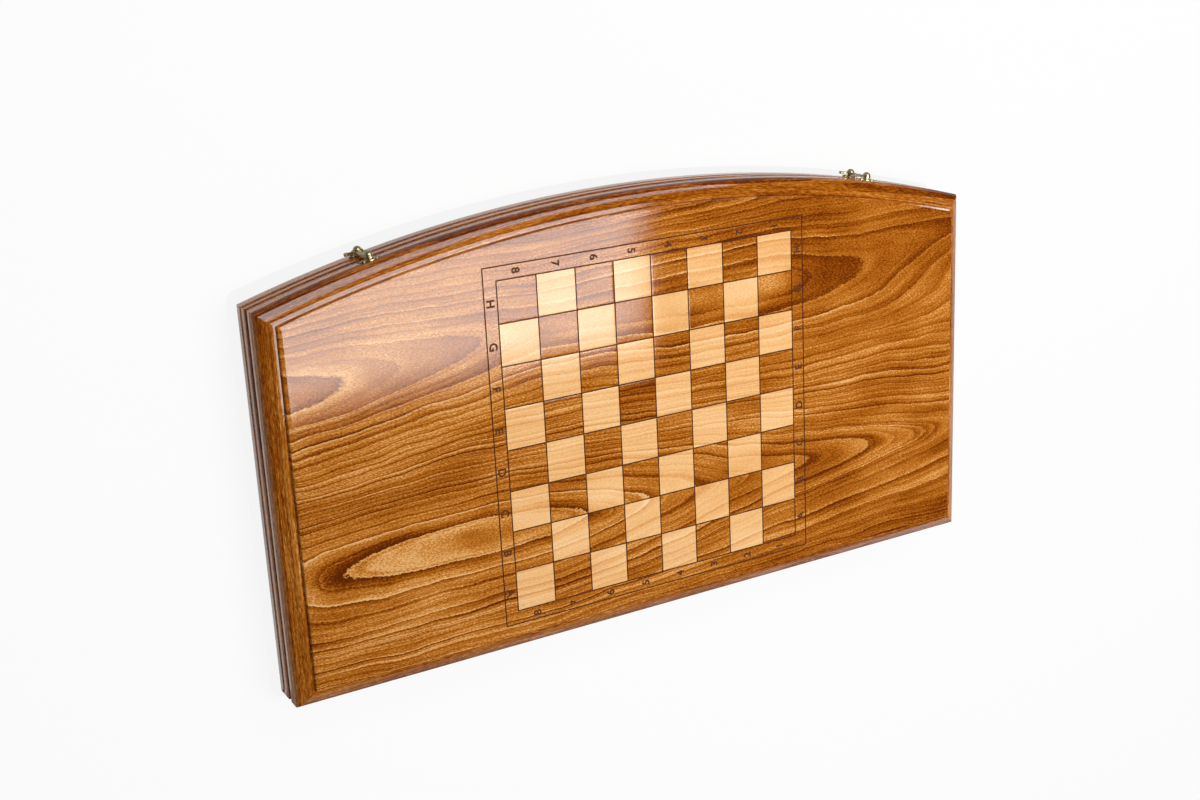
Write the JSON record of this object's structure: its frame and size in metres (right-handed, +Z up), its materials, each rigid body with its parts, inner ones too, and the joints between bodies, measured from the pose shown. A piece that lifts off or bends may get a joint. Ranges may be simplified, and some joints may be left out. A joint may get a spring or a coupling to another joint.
{
  "type": "backgammon board",
  "caption": "Folding wooden backgammon board with an arched edge, chess grid on its lid, inlaid points inside, brass hinges and hook latches.",
  "frame": {"origin": "centre of the underside of the closed case, as it lies on the back of its base tray", "axes": "+X along the board, +Y towards the arched edge with the latches, +Z up through the closed case to the chess face"},
  "size_m": [0.6, 0.3362, 0.05],
  "materials": {
    "case_wood": "gloss lacquer over a brown stain",
    "chess_panel": "gloss lacquer, light squares left unstained",
    "field_wood": "satin lacquer",
    "dark_inlay": "satin lacquer",
    "light_inlay": "satin lacquer",
    "antique_brass": "antique, darkened in the hollows"
  },
  "bodies": {
    "base": {"base_panel": "case_wood", "base_arch_rail": "case_wood", "base_hinge_rail": "case_wood", "base_left_rail": "case_wood", "base_right_rail": "case_wood", "base_field": "field_wood", "base_points_dark": "dark_inlay", "base_points_light": "light_inlay", "left_hinge_base_leaf": "antique_brass", "right_hinge_base_leaf": "antique_brass", "left_hinge_pin": "antique_brass", "right_hinge_pin": "antique_brass", "base_hinge_screws": "antique_brass", "left_latch_stud_plate": "antique_brass", "right_latch_stud_plate": "antique_brass", "left_latch_stud": "antique_brass", "right_latch_stud": "antique_brass", "base_latch_nails": "antique_brass"},
    "lid": {"lid_panel": "chess_panel", "lid_arch_rail": "case_wood", "lid_hinge_rail": "case_wood", "lid_left_rail": "case_wood", "lid_right_rail": "case_wood", "lid_field": "field_wood", "lid_points_dark": "dark_inlay", "lid_points_light": "light_inlay", "left_hinge_lid_leaf": "antique_brass", "right_hinge_lid_leaf": "antique_brass", "lid_hinge_screws": "antique_brass", "left_latch_pivot_plate": "antique_brass", "right_latch_pivot_plate": "antique_brass", "left_latch_pivot": "antique_brass", "right_latch_pivot": "antique_brass", "lid_latch_nails": "antique_brass"},
    "left_hook": {"left_latch_hook": "antique_brass"},
    "right_hook": {"right_latch_hook": "antique_brass"}
  },
  "joints": [
    {"name": "lid_hinge", "type": "hinge", "parent": "base", "child": "lid", "pos_m": [0, -0.1675, 0.025], "axis": [1, 0, 0], "range_deg": [0, 180]},
    {"name": "left_hook_pivot", "type": "hinge", "parent": "lid", "child": "left_hook", "pos_m": [-0.21255, 0.14757, 0.03305], "axis": [-0.2019, 0.9794, 0], "range_deg": [0, 120]},
    {"name": "right_hook_pivot", "type": "hinge", "parent": "lid", "child": "right_hook", "pos_m": [0.21255, 0.14757, 0.03305], "axis": [0.2019, 0.9794, 0], "range_deg": [0, 120]}
  ]
}
